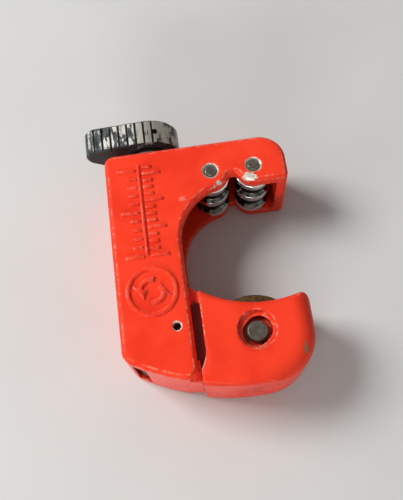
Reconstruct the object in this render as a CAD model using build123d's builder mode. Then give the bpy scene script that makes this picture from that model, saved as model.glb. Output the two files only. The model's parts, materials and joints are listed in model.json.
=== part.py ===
import os
from math import asin, atan2, cos, degrees, hypot, radians, sin, sqrt

from build123d import *

os.makedirs("parts", exist_ok=True)

# The cutter lies on its back: +Z is up out of the front cheek, +Y runs along the feed screw to the
# knob and +X points from the spine to the open throat. The origin is on the back face, under the
# feed screw and level with the cutter wheel's axle while the cutter is fully open.

# Overall casting
body_depth = 19.0
cheek = 2.7
edge_break = 0.7
mid_depth = body_depth / 2

# Frame, in plan
spine_reach = 9.65
spine_wall = 1.6
frame_top = 43.2
top_wall = 4.0
pocket_wall = 2.0
arm_reach = 29.9
arm_corner = 5.6
top_corner = 2.2
foot_corner = 3.0
toe_corner = 2.4
lip_corner = 1.2
throat_centre_x = 17.2
throat_drop = 22.4

# Bottom sweep, and the web that closes the channel there
sweep_x = 17.0
sweep_y = 40.3
frame_sweep = 50.3
channel_floor = -3.9
web_start = -5.4
web_recess = 0.15

# Rollers and their pins
roller_centre_x = 18.0
roller_drop = 6.9
roller_spacing = 9.4
roller_radius = 4.1
groove_radius = 3.2
roller_flange = 1.6
roller_ridge = 1.6
groove_slope = 0.7
roller_side_clearance = 0.3
pocket_clearance = 0.7
roller_pin_radius = 1.4
pin_sink_radius = 1.85
pin_sink_depth = 0.4
pin_chamfer = 0.3
lobe_radius = 3.85
notch_height = 1.1
notch_round = 0.45

# Slide
slide_clearance = 0.1
neck_top = 11.5
neck_round = 1.4
shoulder_round = 1.2
carriage_corner = 2.6
head_left = 7.1
head_right = 29.6
head_corner = 10.0
head_sweep = 50.8
toe_x = 5.7
toe_rise = 2.9
left_edge_foot = -2.7
dish_radius = 24.0
dish_x = 20.9
dish_low = 5.8
peak_round = 2.0
head_round = 1.3
soft_round = 4.0

# Cutter wheel and its axle
axle_x = 17.85
wheel_radius = 9.9
wheel_disc = 1.6
wheel_edge = 0.15
wheel_bevel = 3.2
wheel_hub_radius = 5.0
wheel_width = 5.4
wheel_side_clearance = 0.25
wheel_tip_clearance = 0.25
axle_radius = 2.2
axle_end_gap = 1.0
axle_chamfer = 0.3
cup_x = 17.7
cup_y = 0.2
cup_radius = 3.9
cup_depth = 1.1
slot_depth = 3.0
slot_end_radius = 2.75
slot_shift = 0.5
slot_angle = 45.0
back_cup_radius = 4.4
back_cup_depth = 2.2
axle_back_gap = 0.5

# Axle clip and screw clip
axle_clip_radius = 3.6
axle_clip_thickness = 0.7
axle_groove_radius = 1.5
clip_radius = 5.0
clip_thickness = 0.8
clip_groove_radius = 2.7
clip_mouth = 0.85
face_gap = 0.05

# Feed screw, thrust washer and fits
screw_radius = 3.5
screw_tip_gap = 0.5
shank_radius = 2.8
shank_length = 5.0
collar_radius = 5.2
washer_radius = 5.6
washer_thickness = 0.8
running_fit = 0.05
press_fit = 0.02

# Knob and its cross pin
collar_length = 2.2
knob_length = 6.2
hub_radius = 7.2
tip_radius = 3.0
lever_length = 11.8
lever_angle = 162.0
groove_pitch = 1.93
groove_start = 1.45
groove_width = 0.7
groove_depth = 0.5
grooves_per_flat = 5
grooves_on_hub = 2
knob_chamfer = 0.4
knob_pin_radius = 0.65
knob_pin_bore = 0.35
knob_pin_recess = 0.8

# Oil hole in the front cheek
oil_x = 1.97
oil_y = 2.95
oil_radius = 0.85

roller_line = frame_top - roller_drop
throat_centre_y = frame_top - throat_drop
web_end = toe_x - slide_clearance
head_corner_x = head_right - head_corner
collar_start = frame_top + washer_thickness + 2 * face_gap
knob_start = collar_start + collar_length
roller_xs = {
    "inner": roller_centre_x - roller_spacing / 2,
    "outer": roller_centre_x + roller_spacing / 2,
}
throat_run = hypot(roller_xs["inner"] - throat_centre_x, roller_line - throat_centre_y)
throat_radius = throat_run - lobe_radius
throat_end = degrees(atan2(roller_line - throat_centre_y, roller_xs["inner"] - throat_centre_x))
spine_edge = throat_centre_x - throat_radius
inner_wall_x = spine_wall - spine_reach
hollow_depth = body_depth - 2 * cheek
neck_back = cheek + slide_clearance
neck_depth = body_depth - 2 * neck_back
carriage_left = inner_wall_x + slide_clearance
carriage_low = channel_floor + slide_clearance
wheel_slot = wheel_width + 2 * wheel_side_clearance
slot_front = mid_depth + wheel_slot / 2
slot_back = mid_depth - wheel_slot / 2


def sweep_point(x, radius):
    """Point on the long sweep that closes the castings at the bottom."""
    return (x, sweep_y - sqrt(radius**2 - (x - sweep_x) ** 2))


def dish_point(x):
    """Point on the hollow top of the head."""
    return (x, dish_low + dish_radius - sqrt(dish_radius**2 - (x - dish_x) ** 2))


def round_point(centre_x, centre_y, radius, angle):
    """Point on a circle, the angle counted from +X."""
    return (centre_x + radius * cos(radians(angle)), centre_y + radius * sin(radians(angle)))


def throat_point(angle):
    """Point on the throat's round."""
    return round_point(throat_centre_x, throat_centre_y, throat_radius, angle)


def lobe_point(name, angle):
    """Point on the round lobe about one roller's pin."""
    return round_point(roller_xs[name], roller_line, lobe_radius, angle)


# Frame
notch_angle = degrees(asin(notch_height / lobe_radius))
lobe_start = throat_end - 180.0
foot = sweep_point(-spine_reach, frame_sweep)
toe = sweep_point(spine_edge, frame_sweep)
lip = (arm_reach, roller_line - lobe_radius)
notch_right = lobe_point("outer", -180.0 + notch_angle)
notch_left = lobe_point("inner", -notch_angle)

with BuildPart() as frame:
    with BuildSketch() as frame_outline:
        with BuildLine():
            Line(foot, (-spine_reach, frame_top))
            Line((-spine_reach, frame_top), (arm_reach, frame_top))
            Line((arm_reach, frame_top), lip)
            Line(lip, lobe_point("outer", -90.0))
            ThreePointArc(lobe_point("outer", -90.0), lobe_point("outer", -130.0), notch_right)
            Line(notch_right, notch_left)
            ThreePointArc(notch_left, lobe_point("inner", -45.0), lobe_point("inner", lobe_start))
            ThreePointArc(throat_point(throat_end), throat_point(142.0), throat_point(180.0))
            Line(throat_point(180.0), toe)
            ThreePointArc(toe, sweep_point(-2.0, frame_sweep), foot)
        make_face()
        frame_corners = (
            ((-spine_reach, frame_top), top_corner),
            ((arm_reach, frame_top), arm_corner),
            (lip, lip_corner),
            (foot, foot_corner),
            (toe, toe_corner),
            (notch_right, notch_round),
            (notch_left, notch_round),
        )
        for corner, radius in frame_corners:
            fillet(frame_outline.vertices().sort_by_distance(corner)[0], radius)
    extrude(amount=body_depth)
    chamfer(frame.faces().filter_by(Plane.XY).edges(), edge_break)
    # Channel for the slide and pocket for the rollers, open to the throat
    pocket_left = roller_xs["inner"] - roller_radius - pocket_clearance
    pocket_right = roller_xs["outer"] + roller_radius + pocket_clearance
    with BuildSketch(Plane.XY.offset(cheek)):
        with BuildLine():
            Polyline(
                (inner_wall_x, channel_floor),
                (inner_wall_x, frame_top - top_wall),
                (pocket_left, frame_top - top_wall),
                (pocket_left, frame_top - pocket_wall),
                (pocket_right, frame_top - pocket_wall),
                (pocket_right, throat_centre_y),
                (2 * spine_edge, throat_centre_y),
                (2 * spine_edge, channel_floor),
                close=True,
            )
        make_face()
    extrude(amount=hollow_depth, mode=Mode.SUBTRACT)
    # Web between the cheeks at the foot of the channel, square at its free end
    with BuildSketch(Plane.XY.offset(cheek)):
        with BuildLine():
            web_low_end = sweep_point(web_end, frame_sweep - web_recess)
            web_low_mid = sweep_point(web_end / 2, frame_sweep - web_recess)
            web_low_start = sweep_point(0.0, frame_sweep - web_recess)
            ThreePointArc(web_low_start, web_low_mid, web_low_end)
            Polyline(web_low_end, (web_end, channel_floor), (0.0, channel_floor), web_low_start)
        make_face()
    extrude(amount=hollow_depth)
    with BuildSketch(Plane.XY.offset(cheek)):
        with Locations(((inner_wall_x + web_start) / 2, channel_floor)):
            Rectangle(web_start - inner_wall_x, 4.0)
    extrude(amount=hollow_depth, mode=Mode.SUBTRACT)
    # Bores: roller pins, screw journal, oil hole
    for pin_x in roller_xs.values():
        with BuildSketch():
            with Locations((pin_x, roller_line)):
                Circle(roller_pin_radius + press_fit)
        extrude(amount=body_depth, mode=Mode.SUBTRACT)
        for sink_plane in (Plane.XY.offset(body_depth), Plane.XY):
            with BuildSketch(sink_plane):
                with Locations((pin_x, roller_line)):
                    Circle(pin_sink_radius)
            inward = pin_sink_depth if sink_plane == Plane.XY else -pin_sink_depth
            extrude(amount=inward, taper=45, mode=Mode.SUBTRACT)
    with BuildSketch(Plane.XZ.offset(-frame_top)):
        with Locations((0, mid_depth)):
            Circle(screw_radius + running_fit)
    extrude(amount=top_wall, mode=Mode.SUBTRACT)
    with BuildSketch(Plane.XY.offset(body_depth - cheek)):
        with Locations((oil_x, oil_y)):
            Circle(oil_radius)
    extrude(amount=cheek, mode=Mode.SUBTRACT)
    frame.part.label = "frame"

# Slide
corner_y = sweep_y - sqrt((head_sweep - head_corner) ** 2 - (head_corner_x - sweep_x) ** 2)
corner_end = degrees(atan2(corner_y - sweep_y, head_corner_x - sweep_x))
corner_foot = round_point(head_corner_x, corner_y, head_corner, corner_end)
toe_foot = sweep_point(toe_x, head_sweep)
toe_top = (toe_x, toe_foot[1] + toe_rise)
horn = dish_point(head_left)
peak = dish_point(head_right)


def head_corner_point(angle):
    """Point on the big round at the head's lower right."""
    return round_point(head_corner_x, corner_y, head_corner, angle)


with BuildPart() as soft_head:
    with BuildSketch() as soft_outline:
        with BuildLine():
            slope = head_corner_point(-60.0)
            far = (slope[0] - 60.0 * cos(radians(30.0)), slope[1] - 60.0 * sin(radians(30.0)))
            Line((head_right, 40.0), (head_right, corner_y))
            ThreePointArc((head_right, corner_y), head_corner_point(-30.0), slope)
            Line(slope, far)
            Line(far, (far[0], 40.0))
            Line((far[0], 40.0), (head_right, 40.0))
        make_face()
    extrude(amount=body_depth)
    soft_edges = soft_head.faces().filter_by(Plane.XY).edges()
    far_left = -spine_reach
    fillet(soft_edges.filter_by(lambda rim: rim.center().X > far_left and rim.center().Y < 39.0), soft_round)

with BuildPart() as slide:
    with BuildSketch() as head_outline:
        with BuildLine():
            ThreePointArc(horn, dish_point(dish_x), peak)
            Line(peak, (head_right, corner_y))
            ThreePointArc((head_right, corner_y), head_corner_point(-45.0), corner_foot)
            ThreePointArc(corner_foot, sweep_point(12.0, head_sweep), toe_foot)
            Line(toe_foot, toe_top)
            ThreePointArc(toe_top, (head_left - 0.45, toe_top[1] + 1.9), (head_left, left_edge_foot))
            Line((head_left, left_edge_foot), horn)
        make_face()
        fillet(head_outline.vertices().sort_by_distance(peak)[0], peak_round)
    extrude(amount=body_depth)
    head_rims = slide.faces().filter_by(Plane.XY).edges()
    fillet(head_rims.filter_by(lambda rim: rim.center().X > head_left + 1.0), head_round)
    # Softer rounding round the head's right side and lower corner
    add(soft_head.part, mode=Mode.INTERSECT)
    # Carriage that runs in the frame's channel
    with BuildSketch(Plane.XY.offset(neck_back)) as carriage_outline:
        with BuildLine():
            Polyline(
                (carriage_left, carriage_low),
                (carriage_left, neck_top),
                (head_left + 2.0, neck_top),
                (head_left + 2.0, toe_top[1]),
                (toe_x, toe_top[1]),
                (toe_x, carriage_low),
                close=True,
            )
        make_face()
        dish_centre = (dish_x, dish_low + dish_radius)
        with Locations(dish_centre):
            Circle(dish_radius, mode=Mode.SUBTRACT)
        carriage_corners = (
            ((carriage_left, carriage_low), carriage_corner),
            ((carriage_left, neck_top), shoulder_round),
            ((head_left - 1.5, neck_top), neck_round),
        )
        for corner, radius in carriage_corners:
            fillet(carriage_outline.vertices().sort_by_distance(corner)[0], radius)
    extrude(amount=neck_depth)
    # Threaded bore for the feed screw, drawn at the thread's outer size
    with BuildSketch(Plane.XZ.offset(-neck_top)):
        with Locations((0, mid_depth)):
            Circle(screw_radius + running_fit)
    extrude(amount=neck_top - carriage_low + 1.0, mode=Mode.SUBTRACT)
    # Slot for the wheel, and the axle's bore with its pockets front and back
    with BuildSketch(Plane.XY.offset(slot_back)):
        with Locations((axle_x, 0)):
            Circle(wheel_radius + wheel_tip_clearance)
    extrude(amount=wheel_slot, mode=Mode.SUBTRACT)
    with BuildSketch(Plane.XY.offset(body_depth - cup_depth)):
        with Locations((cup_x, cup_y)):
            Circle(cup_radius)
    extrude(amount=cup_depth, mode=Mode.SUBTRACT)
    with BuildSketch(Plane.XY.offset(body_depth - slot_depth)):
        with Locations((axle_x, 0)):
            SlotCenterToCenter(2 * slot_shift, 2 * slot_end_radius, rotation=slot_angle)
    extrude(amount=slot_depth, mode=Mode.SUBTRACT)
    with BuildSketch():
        with Locations((axle_x, 0)):
            Circle(back_cup_radius)
    extrude(amount=back_cup_depth, mode=Mode.SUBTRACT)
    with BuildSketch():
        with Locations((axle_x, 0)):
            Circle(axle_radius + press_fit)
    extrude(amount=body_depth, mode=Mode.SUBTRACT)
    slide.part.label = "slide"

# Cutter wheel: a thin disc ground to a plan edge, with a hub on both sides
with BuildPart() as cutter_wheel:
    with BuildSketch(Plane.XZ) as wheel_profile:
        with BuildLine():
            bevel_start = wheel_radius - wheel_bevel
            Polyline(
                (axle_x + axle_radius + running_fit, mid_depth - wheel_width / 2),
                (axle_x + wheel_hub_radius, mid_depth - wheel_width / 2),
                (axle_x + wheel_hub_radius, mid_depth - wheel_disc / 2),
                (axle_x + bevel_start, mid_depth - wheel_disc / 2),
                (axle_x + wheel_radius, mid_depth - wheel_edge / 2),
                (axle_x + wheel_radius, mid_depth + wheel_edge / 2),
                (axle_x + bevel_start, mid_depth + wheel_disc / 2),
                (axle_x + wheel_hub_radius, mid_depth + wheel_disc / 2),
                (axle_x + wheel_hub_radius, mid_depth + wheel_width / 2),
                (axle_x + axle_radius + running_fit, mid_depth + wheel_width / 2),
                close=True,
            )
        make_face()
    revolve(axis=Axis((axle_x, 0, 0), (0, 0, 1)))
    cutter_wheel.part.label = "cutter_wheel"

# Wheel axle with its retaining groove at the back
clip_seat = back_cup_depth - face_gap - axle_clip_thickness
with BuildPart() as wheel_axle:
    with BuildSketch(Plane.XY.offset(axle_back_gap)):
        with Locations((axle_x, 0)):
            Circle(axle_radius)
    extrude(amount=body_depth - axle_end_gap - axle_back_gap)
    chamfer(wheel_axle.faces().filter_by(Plane.XY).edges(), axle_chamfer)
    with BuildSketch(Plane.XY.offset(clip_seat - face_gap)):
        with Locations((axle_x, 0)):
            Circle(axle_radius + 1.0)
            Circle(axle_groove_radius, mode=Mode.SUBTRACT)
    extrude(amount=axle_clip_thickness + 2 * face_gap, mode=Mode.SUBTRACT)
    wheel_axle.part.label = "wheel_axle"


def clip_outline(outer, inner, mouth_angle):
    """Draw an open retaining ring: a mouth at one side and two reliefs beside the far lug."""
    Circle(outer)
    Circle(inner, mode=Mode.SUBTRACT)
    with Locations(Rotation(0, 0, mouth_angle)):
        with Locations((outer, 0)):
            Rectangle(2 * outer, 2 * inner * clip_mouth, mode=Mode.SUBTRACT)
    with PolarLocations(inner + 0.1, 2, start_angle=mouth_angle + 120, angular_range=240):
        Circle(inner * 0.35, mode=Mode.SUBTRACT)


with BuildPart() as axle_clip:
    with BuildSketch(Plane.XY.offset(clip_seat)):
        with Locations((axle_x, 0)):
            clip_outline(axle_clip_radius, axle_groove_radius + running_fit, 60.0)
    extrude(amount=axle_clip_thickness)
    axle_clip.part.label = "axle_clip"

# Rollers and their pins
roller_back = cheek + roller_side_clearance
roller_front = body_depth - roller_back
roller_bore = roller_pin_radius + running_fit
rollers = {}
pins = {}
for side, pin_x in roller_xs.items():
    with BuildPart() as roller:
        with BuildSketch(Plane.XZ.offset(-roller_line)):
            with BuildLine():
                groove_low = roller_back + roller_flange
                groove_high = roller_front - roller_flange
                ridge_low = mid_depth - roller_ridge / 2
                ridge_high = mid_depth + roller_ridge / 2
                rim = pin_x + roller_radius
                root = pin_x + groove_radius
                Polyline(
                    (pin_x + roller_bore, roller_back),
                    (rim, roller_back),
                    (rim, groove_low),
                    (root, groove_low + groove_slope),
                    (root, ridge_low - groove_slope),
                    (rim, ridge_low),
                    (rim, ridge_high),
                    (root, ridge_high + groove_slope),
                    (root, groove_high - groove_slope),
                    (rim, groove_high),
                    (rim, roller_front),
                    (pin_x + roller_bore, roller_front),
                    close=True,
                )
            make_face()
        revolve(axis=Axis((pin_x, roller_line, 0), (0, 0, 1)))
        roller.part.label = side + "_roller"
    rollers[side] = roller
    with BuildPart() as roller_pin:
        with BuildSketch(Plane.XY.offset(press_fit)):
            with Locations((pin_x, roller_line)):
                Circle(roller_pin_radius)
        extrude(amount=body_depth - 2 * press_fit)
        chamfer(roller_pin.faces().filter_by(Plane.XY).edges(), pin_chamfer)
        roller_pin.part.label = side + "_roller_pin"
    pins[side] = roller_pin

# Feed screw: thread, clip groove, journal, collar and the shank inside the knob
clip_top = frame_top - top_wall - face_gap
screw_tip = channel_floor + screw_tip_gap
cylinder_runs = (
    (screw_tip, clip_top - clip_thickness - face_gap, screw_radius),
    (clip_top - clip_thickness - face_gap, clip_top + face_gap, clip_groove_radius),
    (clip_top + face_gap, collar_start, screw_radius),
    (collar_start, knob_start - face_gap, collar_radius),
    (knob_start - face_gap, knob_start + shank_length, shank_radius),
)
cross_plane = Plane(
    origin=(0, knob_start + knob_length / 2, mid_depth),
    z_dir=(cos(radians(lever_angle - 90.0)), 0, sin(radians(lever_angle - 90.0))),
)
with BuildPart() as feed_screw:
    for low, high, radius in cylinder_runs:
        with BuildSketch(Plane.XZ.offset(-high)):
            with Locations((0, mid_depth)):
                Circle(radius)
        extrude(amount=high - low)
    chamfer(feed_screw.edges().sort_by(Axis.Y)[0], 0.8)
    with BuildSketch(cross_plane):
        Circle(knob_pin_radius + press_fit)
    extrude(amount=hub_radius, both=True, mode=Mode.SUBTRACT)
    feed_screw.part.label = "feed_screw"

with BuildPart() as thrust_washer:
    with BuildSketch(Plane.XZ.offset(-frame_top - face_gap - washer_thickness)):
        with Locations((0, mid_depth)):
            Circle(washer_radius)
            Circle(screw_radius + running_fit, mode=Mode.SUBTRACT)
    extrude(amount=washer_thickness)
    thrust_washer.part.label = "thrust_washer"

with BuildPart() as screw_clip:
    with BuildSketch(Plane.XZ.offset(-clip_top)):
        with Locations((0, mid_depth)):
            clip_outline(clip_radius, clip_groove_radius + running_fit, 0.0)
    extrude(amount=clip_thickness)
    screw_clip.part.label = "screw_clip"

# Knob: a hub drawn out to a ridged lever, on a plane square to the screw
lever_x = lever_length * cos(radians(lever_angle))
lever_z = lever_length * sin(radians(lever_angle))
flat_turn = degrees(atan2(sqrt(lever_length**2 - (hub_radius - tip_radius) ** 2), hub_radius - tip_radius))
flat_length = sqrt(lever_length**2 - (hub_radius - tip_radius) ** 2)
groove_spots = []
for way in (-1, 1):
    flat_normal = lever_angle + way * flat_turn
    for step in range(grooves_per_flat):
        share = 1.0 - (groove_start + step * groove_pitch) / flat_length
        reach = tip_radius + (hub_radius - tip_radius) * (1.0 - share)
        groove_spots.append((share, reach, flat_normal))
    for step in range(grooves_on_hub):
        past_flat = groove_start + (grooves_per_flat + step) * groove_pitch - flat_length
        groove_spots.append((0.0, hub_radius, flat_normal + way * degrees(past_flat / hub_radius)))
for turn in (-60.0, -20.0, 20.0, 60.0):
    groove_spots.append((1.0, tip_radius, lever_angle + turn))

knob_top_plane = Plane.XZ.offset(-knob_start - knob_length)
with BuildPart() as knob:
    with BuildSketch(knob_top_plane):
        with Locations((0, mid_depth)):
            Circle(hub_radius)
        with Locations((lever_x, mid_depth + lever_z)):
            Circle(tip_radius)
        make_hull()
    extrude(amount=knob_length)
    chamfer(knob.faces().filter_by(Plane.XZ).edges(), knob_chamfer)
    with BuildSketch(knob_top_plane):
        for share, reach, turn in groove_spots:
            out = Vector(cos(radians(turn)), sin(radians(turn)))
            side = Vector(-out.Y, out.X)
            rim = Vector(lever_x, lever_z) * share + Vector(0, mid_depth) + out * reach
            with BuildLine():
                Polyline(
                    rim - out * groove_depth,
                    rim + side * groove_width / 2 + out * groove_depth / 4,
                    rim - side * groove_width / 2 + out * groove_depth / 4,
                    close=True,
                )
            make_face()
    extrude(amount=knob_length, mode=Mode.SUBTRACT)
    with BuildSketch(Plane.XZ.offset(-knob_start - shank_length - face_gap)):
        with Locations((0, mid_depth)):
            Circle(shank_radius + press_fit)
    extrude(amount=shank_length + face_gap, mode=Mode.SUBTRACT)
    with BuildSketch(cross_plane):
        Circle(knob_pin_radius + press_fit)
    extrude(amount=hub_radius + 1.0, both=True, mode=Mode.SUBTRACT)
    knob.part.label = "knob"

with BuildPart() as knob_pin:
    with BuildSketch(cross_plane):
        Circle(knob_pin_radius)
        Circle(knob_pin_bore, mode=Mode.SUBTRACT)
    extrude(amount=hub_radius - knob_pin_recess, both=True)
    knob_pin.part.label = "knob_pin"

export_step(frame.part, "parts/frame.step")
export_step(slide.part, "parts/slide.step")
export_step(cutter_wheel.part, "parts/cutter_wheel.step")
export_step(wheel_axle.part, "parts/wheel_axle.step")
export_step(axle_clip.part, "parts/axle_clip.step")
for side in roller_xs:
    export_step(rollers[side].part, "parts/" + side + "_roller.step")
    export_step(pins[side].part, "parts/" + side + "_roller_pin.step")
export_step(feed_screw.part, "parts/feed_screw.step")
export_step(thrust_washer.part, "parts/thrust_washer.step")
export_step(screw_clip.part, "parts/screw_clip.step")
export_step(knob.part, "parts/knob.step")
export_step(knob_pin.part, "parts/knob_pin.step")
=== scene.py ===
"""Looks of a small hand tubing cutter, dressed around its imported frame.

The cutter lies on its back: +Z comes out of the front cheek, +Y runs along the feed screw to the
knob and +X points from the spine to the open throat. Sizes are in millimetres and are turned into
metres where a mesh is made.
"""

import json
import logging
import math
from dataclasses import dataclass
from enum import Enum
from functools import reduce

import bmesh
import bpy
from mathutils import Matrix, Vector

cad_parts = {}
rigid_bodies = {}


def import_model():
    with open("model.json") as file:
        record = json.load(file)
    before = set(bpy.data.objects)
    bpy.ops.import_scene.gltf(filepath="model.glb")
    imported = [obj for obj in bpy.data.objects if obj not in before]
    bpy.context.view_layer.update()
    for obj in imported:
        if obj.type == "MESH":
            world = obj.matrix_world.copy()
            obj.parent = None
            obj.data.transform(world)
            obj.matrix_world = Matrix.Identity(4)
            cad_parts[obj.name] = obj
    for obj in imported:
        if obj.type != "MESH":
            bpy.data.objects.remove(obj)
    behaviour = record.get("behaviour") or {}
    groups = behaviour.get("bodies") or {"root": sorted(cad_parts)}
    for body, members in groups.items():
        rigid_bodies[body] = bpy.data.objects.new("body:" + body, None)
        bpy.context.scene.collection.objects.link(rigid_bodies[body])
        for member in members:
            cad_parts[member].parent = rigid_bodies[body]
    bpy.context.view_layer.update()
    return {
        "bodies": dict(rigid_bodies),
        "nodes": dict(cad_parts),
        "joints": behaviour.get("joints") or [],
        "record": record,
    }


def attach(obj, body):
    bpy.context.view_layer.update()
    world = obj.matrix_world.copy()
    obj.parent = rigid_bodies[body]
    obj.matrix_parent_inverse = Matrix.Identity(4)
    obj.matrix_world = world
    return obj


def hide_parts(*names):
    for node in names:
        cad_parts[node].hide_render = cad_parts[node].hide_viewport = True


MM = 0.001
BODY_DEPTH = 19.0  # thickness of the castings
MID_DEPTH = BODY_DEPTH / 2  # height of the feed screw's axis
SOFT = 0.1  # half-width of a mask's soft border
CORNERS = ((-1, -1), (1, -1), (1, 1), (-1, 1))  # of a rectangle, anticlockwise
LOG = logging.getLogger("tubing_cutter")

Colour = tuple[float, float, float]
Place = tuple[float, float, float]
Point = tuple[float, float]
Socket = bpy.types.NodeSocket

EVEN: Place = (1.0, 1.0, 1.0)  # no stretch along any axis


class Body(Enum):
    """Rigid bodies that the new pieces ride on."""

    FRAME = "frame_body"
    SCREW = "screw_body"
    INNER_ROLLER = "inner_roller_body"
    OUTER_ROLLER = "outer_roller_body"
    WHEEL = "wheel_body"


class Slot(Enum):
    """Kinds of finish that the new pieces have."""

    PAINT = "paint"
    STEEL = "steel"
    CHROME = "chrome"
    WHEEL_STEEL = "wheel_steel"


class Spin(Enum):
    """Axis that a turned piece is made about."""

    ALONG_SCREW = "y"
    ALONG_PIN = "z"


class Board:
    """A material's node tree, with short ways to add and join nodes."""

    def __init__(self, name: str) -> None:
        """Start a material that holds one shader.

        Args:
            name: Name of the material.
        """
        self.material = bpy.data.materials.new(name)
        self.material.use_nodes = True
        self.tree = self.material.node_tree
        self.tree.nodes.clear()
        self.shader = self.tree.nodes.new("ShaderNodeBsdfPrincipled")
        output = self.tree.nodes.new("ShaderNodeOutputMaterial")
        self.join(self.shader.outputs["BSDF"], output.inputs["Surface"])
        self.place = self.add("ShaderNodeTexCoord").outputs["Object"]

    def add(self, kind: str, **settings: object) -> bpy.types.ShaderNode:
        """Add a node.

        Args:
            kind: Blender's name of the node type.
            **settings: Attributes set on the node.

        Returns:
            The new node.
        """
        node = self.tree.nodes.new(kind)
        for key, value in settings.items():
            setattr(node, key, value)
        return node

    def join(self, source: Socket, target: Socket) -> None:
        """Link two sockets."""
        self.tree.links.new(source, target)

    def feed(self, socket: Socket, value: object) -> None:
        """Give a socket a link or a plain value.

        Args:
            socket: Input that takes the value.
            value: A socket to link from, a number or a colour.
        """
        if isinstance(value, Socket):
            self.join(value, socket)
        else:
            socket.default_value = value

    def surface(self, values: dict[str, object]) -> None:
        """Give inputs of the shader a link or a plain value.

        Args:
            values: A socket, a number or a colour for each input's name.
        """
        for name, value in values.items():
            self.feed(self.shader.inputs[name], value)

    def moved(self, shift: float, stretch: Place = EVEN) -> Socket:
        """Place on the piece, moved so that two patterns differ.

        Args:
            shift: Offset along each axis in millimetres.
            stretch: Scale along each axis.

        Returns:
            The moved place's socket.
        """
        mapping = self.add("ShaderNodeMapping")
        mapping.inputs["Scale"].default_value = stretch
        mapping.inputs["Location"].default_value = (shift * MM, shift * MM, shift * MM)
        self.join(self.place, mapping.inputs["Vector"])
        return mapping.outputs["Vector"]

    def noise(
        self,
        size: float,
        detail: float = 4.0,
        rough: float = 0.55,
        stretch: Place = EVEN,
        shift: float = 0.0,
    ) -> Socket:
        """Noise whose lumps have a given size.

        Args:
            size: Size of a lump in millimetres.
            detail: Octaves.
            rough: How strong the fine octaves are.
            stretch: Scale along each axis.
            shift: Offset, so that two noises differ.

        Returns:
            The noise's value socket.
        """
        noise = self.add("ShaderNodeTexNoise")
        noise.inputs["Scale"].default_value = 1.0 / (size * MM)
        noise.inputs["Detail"].default_value = detail
        noise.inputs["Roughness"].default_value = rough
        self.join(self.moved(shift, stretch), noise.inputs["Vector"])
        return noise.outputs["Fac"]

    def span(
        self,
        value: Socket,
        low: float,
        high: float,
        to_low: float = 0.0,
        to_high: float = 1.0,
    ) -> Socket:
        """Map a value smoothly from one range to another.

        Args:
            value: Value to map.
            low: Where the ramp starts.
            high: Where the ramp ends.
            to_low: Result at the start.
            to_high: Result at the end.

        Returns:
            The mapped value's socket.
        """
        ramp = self.add("ShaderNodeMapRange", interpolation_type="SMOOTHSTEP")
        self.join(value, ramp.inputs["Value"])
        limits = {"From Min": low, "From Max": high, "To Min": to_low, "To Max": to_high}
        for name, limit in limits.items():
            ramp.inputs[name].default_value = limit
        return ramp.outputs["Result"]

    def math(self, operation: str, first: object, second: object = 0.0) -> Socket:
        """Work out one step of arithmetic.

        Args:
            operation: Blender's name of the operation.
            first: First socket or number.
            second: Second socket or number, if the operation takes two.

        Returns:
            The result's socket.
        """
        node = self.add("ShaderNodeMath", operation=operation)
        self.feed(node.inputs[0], first)
        self.feed(node.inputs[1], second)
        return node.outputs["Value"]

    def fold(self, operation: str, parts: list[Socket]) -> Socket:
        """Work one operation along a row of sockets.

        Args:
            operation: Blender's name of the operation.
            parts: The sockets in order.

        Returns:
            The result's socket.
        """
        return reduce(lambda first, second: self.math(operation, first, second), parts)

    def blend(self, share: object, first: object, second: object) -> Socket:
        """Mix two colours.

        Args:
            share: How much of the second colour shows.
            first: First colour or socket.
            second: Second colour or socket.

        Returns:
            The mixed colour's socket.
        """
        node = self.add("ShaderNodeMix", data_type="RGBA")
        self.feed(node.inputs["Factor"], share)
        for socket, value in ((node.inputs[6], first), (node.inputs[7], second)):
            self.feed(socket, value if isinstance(value, Socket) else (*value, 1.0))
        return node.outputs[2]

    def edges(self, width: float, low: float, high: float) -> Socket:
        """Mask that is 1 on the sharp edges of the piece.

        Args:
            width: How far from an edge the mask reaches, in millimetres.
            low: Bend at which the mask starts.
            high: Bend at which it is full.

        Returns:
            The mask's socket.
        """
        rounded = self.add("ShaderNodeBevel", samples=6)
        rounded.inputs["Radius"].default_value = width * MM
        plain = self.add("ShaderNodeNewGeometry")
        dot = self.add("ShaderNodeVectorMath", operation="DOT_PRODUCT")
        self.join(rounded.outputs["Normal"], dot.inputs[0])
        self.join(plain.outputs["Normal"], dot.inputs[1])
        bend = self.math("SUBTRACT", 1.0, dot.outputs["Value"])
        return self.span(bend, low, high)

    def hollows(self, reach: float, low: float, high: float) -> Socket:
        """Mask that is 1 in the grooves and corners of the piece.

        Args:
            reach: How far away a facing wall still counts, in millimetres.
            low: Openness at which the mask is full.
            high: Openness at which it ends.

        Returns:
            The mask's socket.
        """
        openness = self.add("ShaderNodeAmbientOcclusion", samples=8, only_local=True)
        openness.inputs["Distance"].default_value = reach * MM
        return self.span(openness.outputs["AO"], low, high, 1.0, 0.0)

    def off_middle(self) -> Socket:
        """Distance in metres from the plane halfway through the castings."""
        return self.math("ABSOLUTE", self.math("SUBTRACT", self.axis("Z"), MID_DEPTH * MM))

    def axis(self, name: str, source: Socket | None = None) -> Socket:
        """One coordinate of the place on the piece, or of another vector.

        Args:
            name: X, Y or Z.
            source: Vector to take it from, if not the place.

        Returns:
            The coordinate's socket, in metres where it is a place.
        """
        split = self.add("ShaderNodeSeparateXYZ")
        self.join(source or self.place, split.inputs["Vector"])
        return split.outputs[name]

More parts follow.
